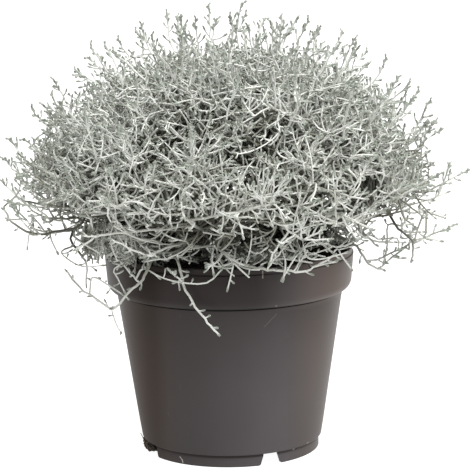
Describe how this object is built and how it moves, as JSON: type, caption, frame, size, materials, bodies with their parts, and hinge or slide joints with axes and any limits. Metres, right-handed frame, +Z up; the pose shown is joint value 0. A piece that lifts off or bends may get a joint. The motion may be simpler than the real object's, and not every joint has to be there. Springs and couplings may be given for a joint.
{
  "type": "potted cushion bush",
  "caption": "Dome of silvery wiry branching shoots standing in peat in a round tapered plastic nursery pot with a wide rim band and a notched foot.",
  "frame": {"origin": "on the pot's axis, at the surface that its foot stands on", "axes": "+Z up along the pot's axis, -Y towards the front, where the longest shoots hang over the rim, +X to the right seen from the front"},
  "size_m": [0.3207, 0.3208, 0.3068],
  "materials": {
    "taupe_plastic": "satin moulded plastic with light scuffs",
    "peat": "matt, crumbly and fibrous",
    "silver_felt": "matt silvery felt on wiry stems"
  },
  "bodies": {
    "root": {"pot": "taupe_plastic", "soil": "peat", "shoot_01": "silver_felt", "shoot_02": "silver_felt", "shoot_03": "silver_felt", "shoot_04": "silver_felt", "shoot_05": "silver_felt", "shoot_06": "silver_felt", "shoot_07": "silver_felt", "shoot_08": "silver_felt", "shoot_09": "silver_felt", "shoot_10": "silver_felt", "shoot_11": "silver_felt", "shoot_12": "silver_felt", "shoot_13": "silver_felt", "shoot_14": "silver_felt", "shoot_15": "silver_felt", "shoot_16": "silver_felt"}
  },
  "joints": []
}
